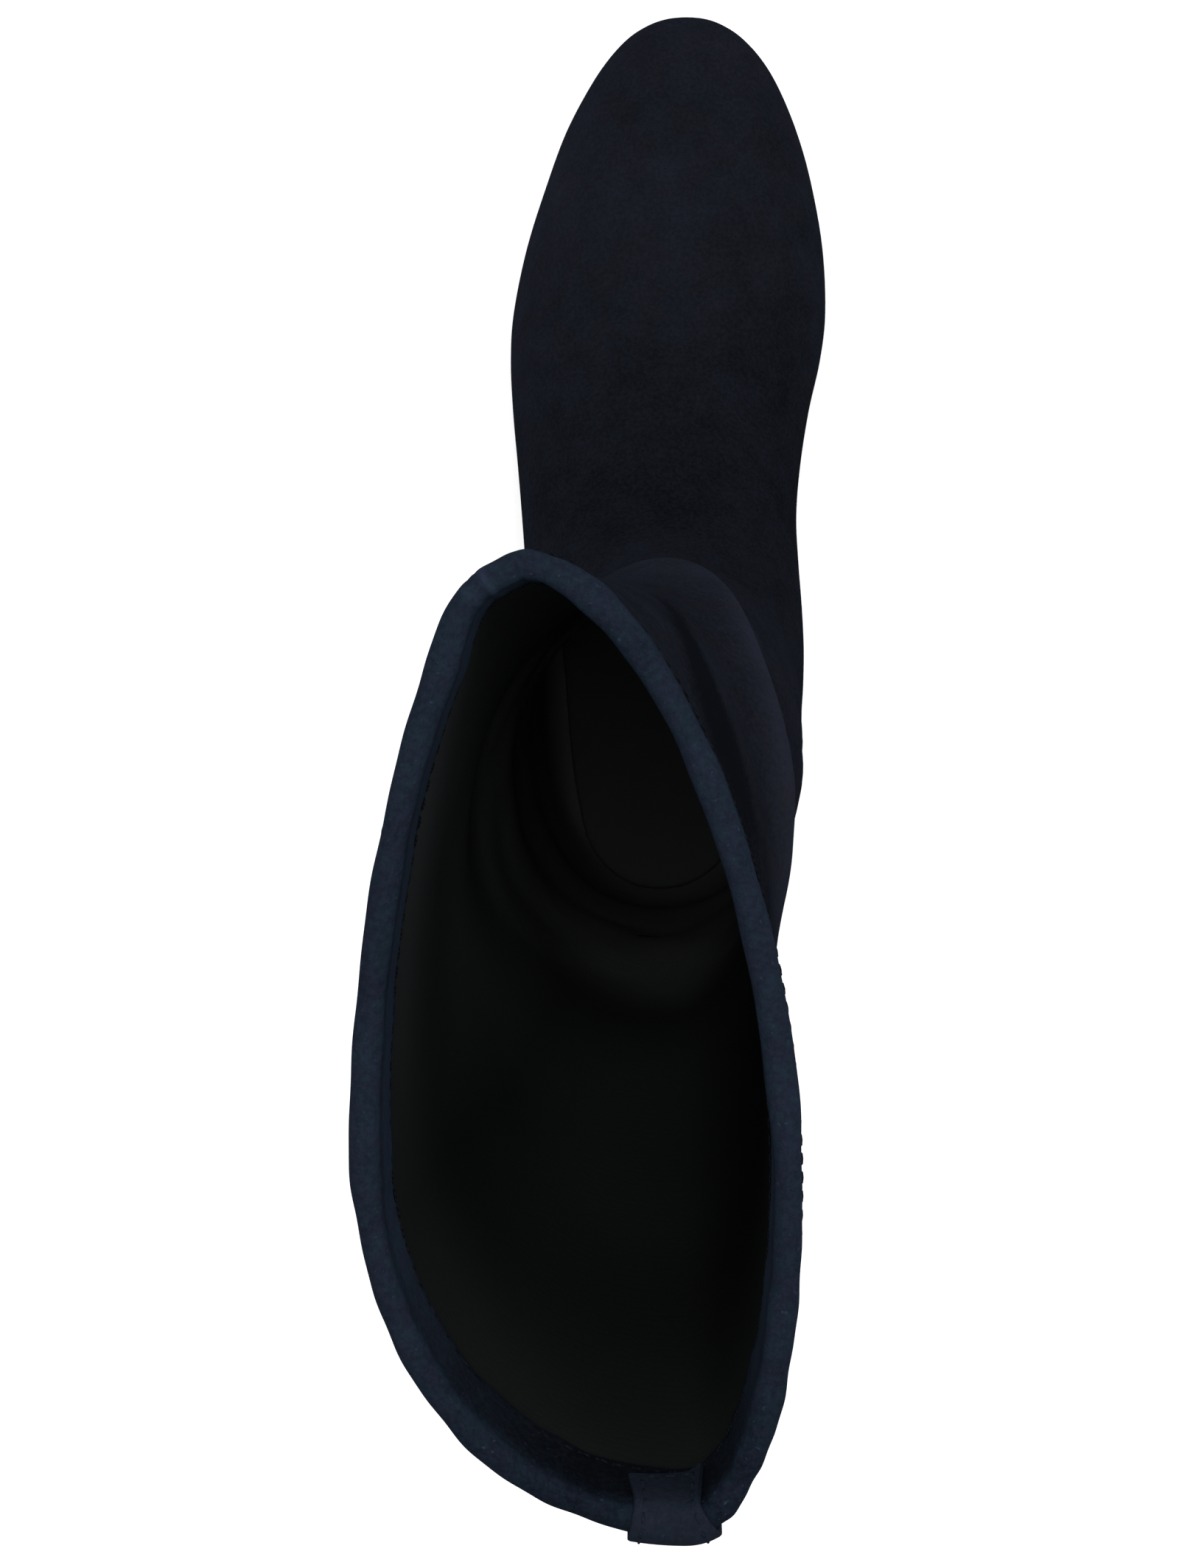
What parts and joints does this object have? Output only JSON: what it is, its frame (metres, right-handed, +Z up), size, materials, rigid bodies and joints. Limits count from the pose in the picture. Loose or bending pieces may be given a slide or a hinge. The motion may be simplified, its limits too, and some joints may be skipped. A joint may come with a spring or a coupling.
{
  "type": "suede boot",
  "caption": "Knee-high pull-on suede boot for the left foot, with a round toe, mid block heel, bound collar and a small tab at the back.",
  "frame": {"origin": "on the floor, in the middle of the underside of the heel's top piece", "axes": "+Z up the leg, +Y from the heel to the toe, +X to the inner (medial) side of the left foot"},
  "size_m": [0.0979, 0.3015, 0.4137],
  "materials": {
    "suede": "dark navy suede, matte, brushed nap",
    "binding_suede": "navy suede with the nap brushed up, matte",
    "tab_suede": "navy suede, matte, stitched",
    "insole_lining": "black lining leather, satin",
    "sole_rubber": "black, fine grain, low gloss",
    "heel_suede": "dark navy suede cover, matte",
    "lift_rubber": "black rubber, matte"
  },
  "bodies": {
    "root": {"upper": "suede", "collar_binding": "binding_suede", "back_tab": "tab_suede", "insole": "insole_lining", "outsole": "sole_rubber", "heel_block": "heel_suede", "top_lift": "lift_rubber"}
  },
  "joints": []
}
